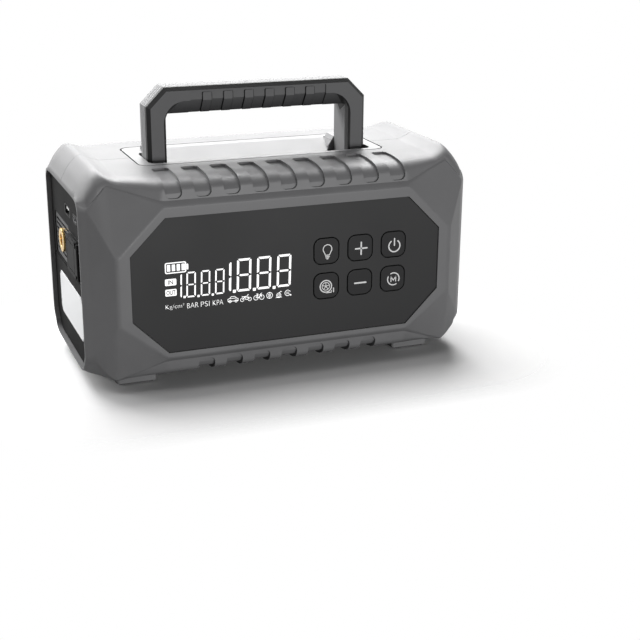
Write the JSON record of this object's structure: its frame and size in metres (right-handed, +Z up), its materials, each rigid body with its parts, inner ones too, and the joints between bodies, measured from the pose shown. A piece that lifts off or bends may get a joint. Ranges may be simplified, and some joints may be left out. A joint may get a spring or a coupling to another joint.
{
  "type": "jump starter pack",
  "caption": "Box-shaped portable jump starter with tyre compressor: display and keys in front, light, ports and air outlet on the left end, carrying handle on top.",
  "frame": {"origin": "middle of the footprint, on the ground under the four feet", "axes": "+X to the right seen from the front, -Y to the front where the display and keys are, +Z up"},
  "size_m": [0.262, 0.146, 0.184],
  "materials": {
    "housing": "fine satin texture",
    "panel": "smooth semi-gloss",
    "keys": "satin",
    "board": "lacquered",
    "display": "smooth",
    "trim": "fine satin texture",
    "soft": "matt",
    "steel": "zinc plated",
    "end_panel": "fine satin texture",
    "dark_plastic": "satin",
    "brass": "turned",
    "white_plastic": "satin",
    "lens": "frosted",
    "cell": "film wrapped cans",
    "cast_alloy": "die cast",
    "red_wire": "smooth insulation"
  },
  "bodies": {
    "housing": {"front_shell": "housing", "rear_shell": "housing", "display_panel": "panel", "control_board": "board", "display_module": "display", "handle_seat": "trim", "handle_frame": "trim", "handle_grip": "soft", "handle_screws": "steel", "left_panel": "end_panel", "left_grille": "dark_plastic", "air_outlet": "brass", "usb_a_port": "dark_plastic", "usb_a_tongue": "white_plastic", "usb_c_port": "steel", "port_board": "board", "start_socket": "dark_plastic", "start_contacts": "brass", "light_lens": "lens", "light_box": "white_plastic", "light_board": "white_plastic", "right_panel": "dark_plastic", "rubber_feet": "soft", "case_screws": "steel", "battery_cells": "cell", "battery_frame": "dark_plastic", "cell_links": "steel", "main_board": "board", "start_relay": "dark_plastic", "motor": "steel", "gearbox": "cast_alloy", "cylinder_barrel": "cast_alloy", "cylinder_head": "cast_alloy", "air_pipe": "brass", "motor_cradle": "dark_plastic", "rubber_mounts": "soft", "positive_lead": "red_wire", "negative_lead": "soft"},
    "light_button": {"light_button": "keys"},
    "plus_button": {"plus_button": "keys"},
    "power_button": {"power_button": "keys"},
    "inflate_button": {"inflate_button": "keys"},
    "minus_button": {"minus_button": "keys"},
    "mode_button": {"mode_button": "keys"},
    "socket_cover": {"socket_cover": "soft"},
    "motor_fan": {"motor_fan": "dark_plastic"}
  },
  "joints": [
    {"name": "light_press", "type": "slide", "parent": "housing", "child": "light_button", "axis": [0, 1, 0], "range_m": [0, 0.0008], "stiffness_N_per_m": 1500, "springref_m": -0.0005},
    {"name": "plus_press", "type": "slide", "parent": "housing", "child": "plus_button", "axis": [0, 1, 0], "range_m": [0, 0.0008], "stiffness_N_per_m": 1500, "springref_m": -0.0005},
    {"name": "power_press", "type": "slide", "parent": "housing", "child": "power_button", "axis": [0, 1, 0], "range_m": [0, 0.0008], "stiffness_N_per_m": 1500, "springref_m": -0.0005},
    {"name": "inflate_press", "type": "slide", "parent": "housing", "child": "inflate_button", "axis": [0, 1, 0], "range_m": [0, 0.0008], "stiffness_N_per_m": 1500, "springref_m": -0.0005},
    {"name": "minus_press", "type": "slide", "parent": "housing", "child": "minus_button", "axis": [0, 1, 0], "range_m": [0, 0.0008], "stiffness_N_per_m": 1500, "springref_m": -0.0005},
    {"name": "mode_press", "type": "slide", "parent": "housing", "child": "mode_button", "axis": [0, 1, 0], "range_m": [0, 0.0008], "stiffness_N_per_m": 1500, "springref_m": -0.0005},
    {"name": "cover_hinge", "type": "hinge", "parent": "housing", "child": "socket_cover", "pos_m": [-0.12945, -0.039, 0.082], "axis": [0, 0, 1], "range_deg": [0, 110]},
    {"name": "fan_spin", "type": "hinge", "parent": "housing", "child": "motor_fan", "pos_m": [-0.0045, 0.016, 0.046], "axis": [1, 0, 0], "continuous": true}
  ]
}
